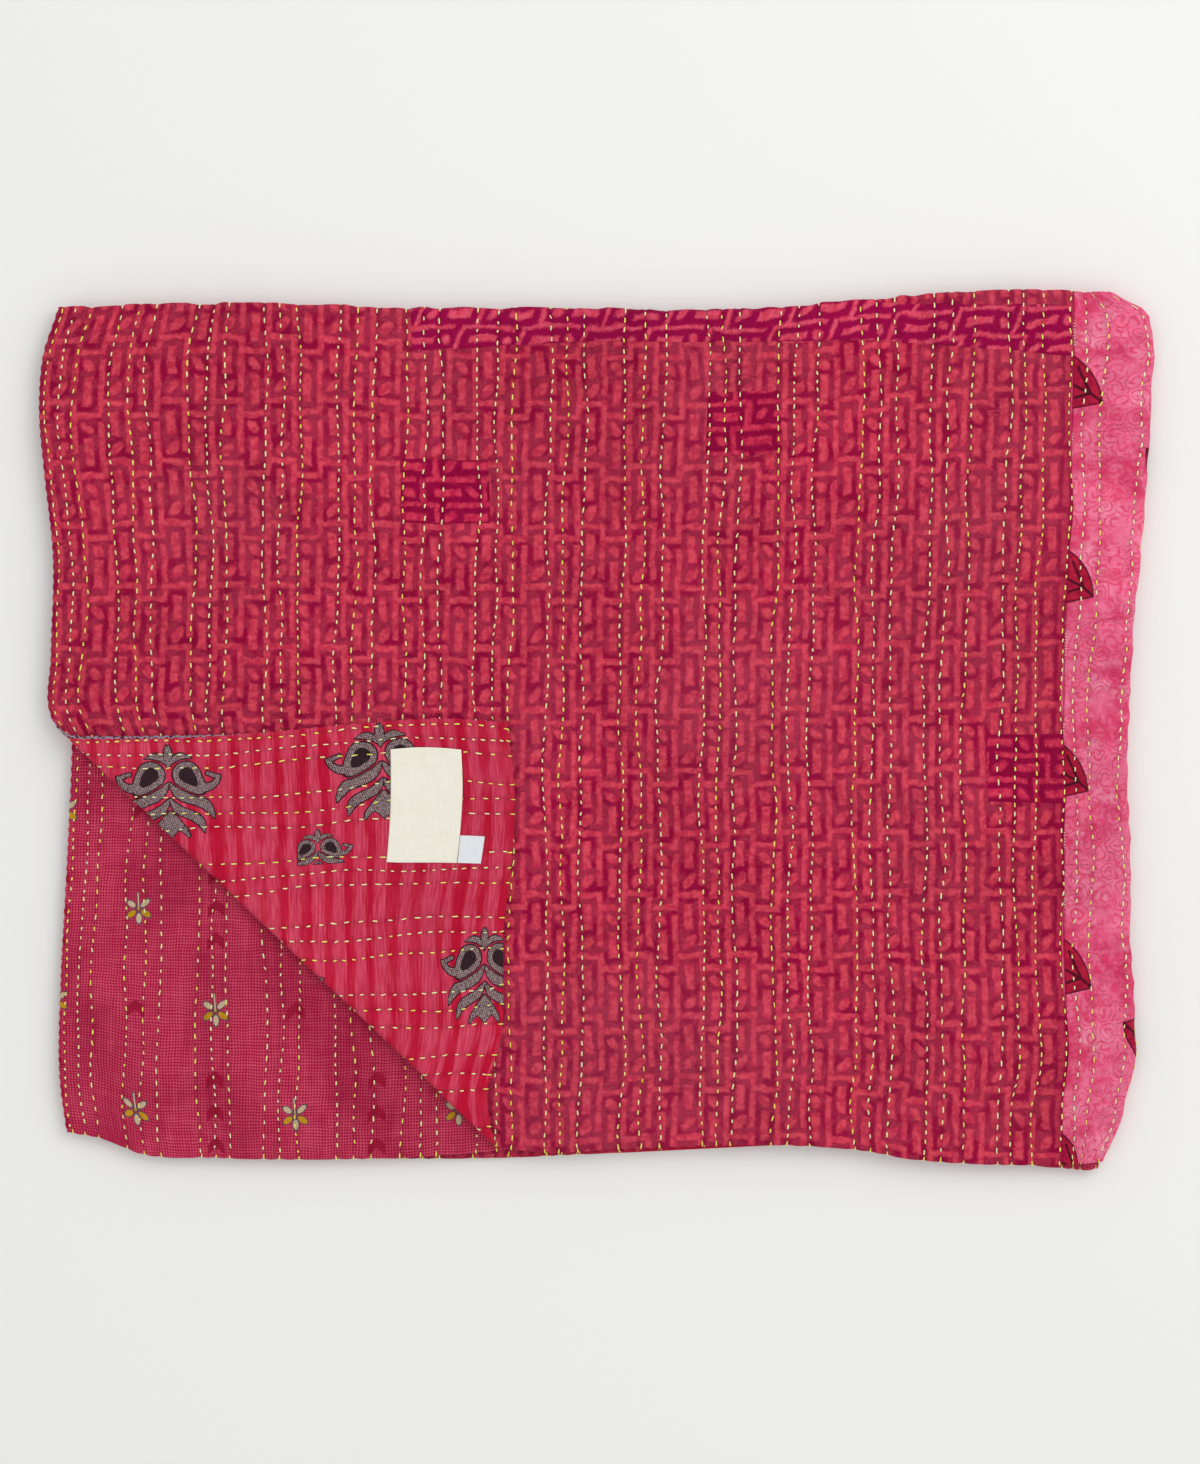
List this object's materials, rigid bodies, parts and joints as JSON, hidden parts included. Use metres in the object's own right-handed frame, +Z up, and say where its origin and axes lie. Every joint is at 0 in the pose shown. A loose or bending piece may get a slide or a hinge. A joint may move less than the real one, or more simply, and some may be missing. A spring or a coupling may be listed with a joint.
{
  "type": "folded kantha quilt",
  "caption": "Hand-stitched cotton quilt folded in quarters, one corner turned back to show its striped reverse, with sewn patches and labels.",
  "frame": {"origin": "middle of the underside, on the surface that the folded quilt rests on", "axes": "+X towards the second fold, along the quilt's long side; +Y towards the first fold; +Z up through the layers"},
  "size_m": [0.7139, 0.566, 0.0197],
  "materials": {
    "quilted_cotton": "soft washed cotton, printed, with rows of yellow running stitch",
    "patch_cotton": "matte printed cotton",
    "label_cotton": "plain unbleached cotton",
    "care_label_satin": "smooth white woven tape"
  },
  "bodies": {
    "root": {"quilt": "quilted_cotton", "top_strip": "patch_cotton", "patch_left": "patch_cotton", "patch_middle": "patch_cotton", "patch_right": "patch_cotton", "label": "label_cotton", "care_label": "care_label_satin"}
  },
  "joints": []
}
